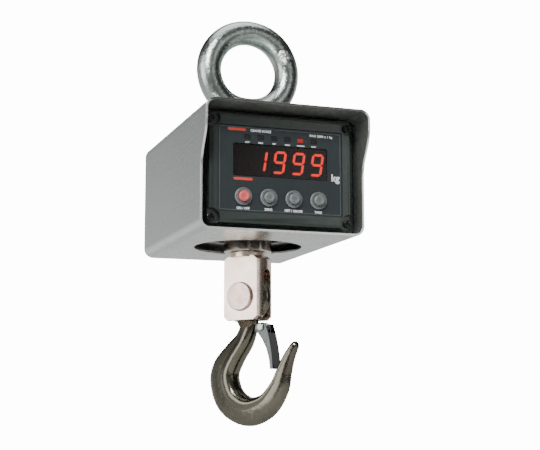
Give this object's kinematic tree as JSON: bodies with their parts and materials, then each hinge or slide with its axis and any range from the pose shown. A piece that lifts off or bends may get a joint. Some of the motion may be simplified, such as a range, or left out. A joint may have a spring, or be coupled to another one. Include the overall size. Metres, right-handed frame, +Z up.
{
  "type": "crane scale",
  "caption": "Hanging crane scale: stainless case with hooded digit display and push buttons, forged lifting eye on top, swivel clevis and latched hook below.",
  "frame": {"origin": "the hang point: inside top of the lifting eye, on the load line", "axes": "+Z up along the load line, -Y the way the display looks, +X to the right of someone who reads the display"},
  "size_m": [0.15, 0.2155, 0.3834],
  "materials": {
    "stainless_case": "brushed along the case, satin",
    "zinc_forging": "bright zinc plating over a shot-blasted forging",
    "hook_forging": "polished forging with a warm nickel tone",
    "machined_steel": "fine turned and milled, semi-bright",
    "bright_sheet": "bright plated sheet",
    "bearing_steel": "ground",
    "cell_alloy": "milled",
    "black_screw": "black oxide",
    "lid_plastic": "moulded, satin",
    "label_film": "matt printed film",
    "smoked_lens": "polished smoked acrylic",
    "led_case": "matt",
    "board_green": "solder mask",
    "button_grey": "translucent silicone",
    "button_red": "silicone",
    "black_rubber": "matt",
    "battery_case": "moulded",
    "lead_sheath": "matt"
  },
  "bodies": {
    "case": {"case_sleeve": "stainless_case", "back_cover": "stainless_case", "top_stiffener": "stainless_case", "front_frame": "stainless_case", "rear_frame": "stainless_case", "eye_bolt": "zinc_forging", "eye_nut": "zinc_forging", "swivel_housing": "machined_steel", "swivel_ring": "machined_steel", "inner_tray": "bright_sheet", "battery_strap": "bright_sheet", "bearing_lower_race": "bearing_steel", "load_cell": "cell_alloy", "bezel_screw_1": "black_screw", "bezel_screw_2": "black_screw", "bezel_screw_3": "black_screw", "bezel_screw_4": "black_screw", "back_screw_1": "black_screw", "back_screw_2": "black_screw", "back_screw_3": "black_screw", "back_screw_4": "black_screw", "bezel": "lid_plastic", "charge_socket": "lid_plastic", "label_plate": "label_film", "display_lens": "smoked_lens", "status_strip": "smoked_lens", "digit_1": "led_case", "digit_2": "led_case", "digit_3": "led_case", "digit_4": "led_case", "digit_5": "led_case", "display_board": "board_green", "button_ring_1": "button_grey", "button_ring_2": "button_grey", "button_ring_3": "button_grey", "button_ring_4": "button_grey", "eye_gasket": "black_rubber", "bezel_gasket": "black_rubber", "back_gasket": "black_rubber", "battery": "battery_case", "load_cell_lead": "lead_sheath", "battery_lead": "lead_sheath"},
    "swivel": {"clevis": "machined_steel", "clevis_pin": "machined_steel", "pin_lock_screw": "black_screw", "spindle_nut": "machined_steel", "bearing_upper_race": "bearing_steel", "bearing_cage": "bearing_steel"},
    "hook_body": {"hook": "hook_forging", "latch_rivet": "zinc_forging"},
    "latch_body": {"latch": "bright_sheet", "latch_spring": "bright_sheet"},
    "charge_flap": {"charge_cap": "black_rubber"},
    "button_1": {"button_1": "button_red"},
    "button_2": {"button_2": "button_grey"},
    "button_3": {"button_3": "button_grey"},
    "button_4": {"button_4": "button_grey"}
  },
  "joints": [
    {"name": "swivel_turn", "type": "hinge", "parent": "case", "child": "swivel", "pos_m": [0, 0, -0.2045], "axis": [0, 0, 1], "continuous": true},
    {"name": "hook_swing", "type": "hinge", "parent": "swivel", "child": "hook_body", "pos_m": [0, 0, -0.242], "axis": [0.7848, 0.6198, 0], "range_deg": [-12, 12]},
    {"name": "latch_open", "type": "hinge", "parent": "hook_body", "child": "latch_body", "pos_m": [0.01153, -0.0146, -0.2704], "axis": [0.7848, 0.6198, 0], "range_deg": [0, 32], "stiffness_Nm_per_rad": 0.12, "springref_deg": -34.38},
    {"name": "charge_flap_open", "type": "hinge", "parent": "case", "child": "charge_flap", "pos_m": [0.047, 0.0989, -0.1025], "axis": [1, 0, 0], "range_deg": [0, 120]},
    {"name": "button_1_press", "type": "slide", "parent": "case", "child": "button_1", "axis": [0, 1, 0], "range_m": [0, 0.0012], "stiffness_N_per_m": 450, "springref_m": -0.0015},
    {"name": "button_2_press", "type": "slide", "parent": "case", "child": "button_2", "axis": [0, 1, 0], "range_m": [0, 0.0012], "stiffness_N_per_m": 450, "springref_m": -0.0015},
    {"name": "button_3_press", "type": "slide", "parent": "case", "child": "button_3", "axis": [0, 1, 0], "range_m": [0, 0.0012], "stiffness_N_per_m": 450, "springref_m": -0.0015},
    {"name": "button_4_press", "type": "slide", "parent": "case", "child": "button_4", "axis": [0, 1, 0], "range_m": [0, 0.0012], "stiffness_N_per_m": 450, "springref_m": -0.0015}
  ]
}
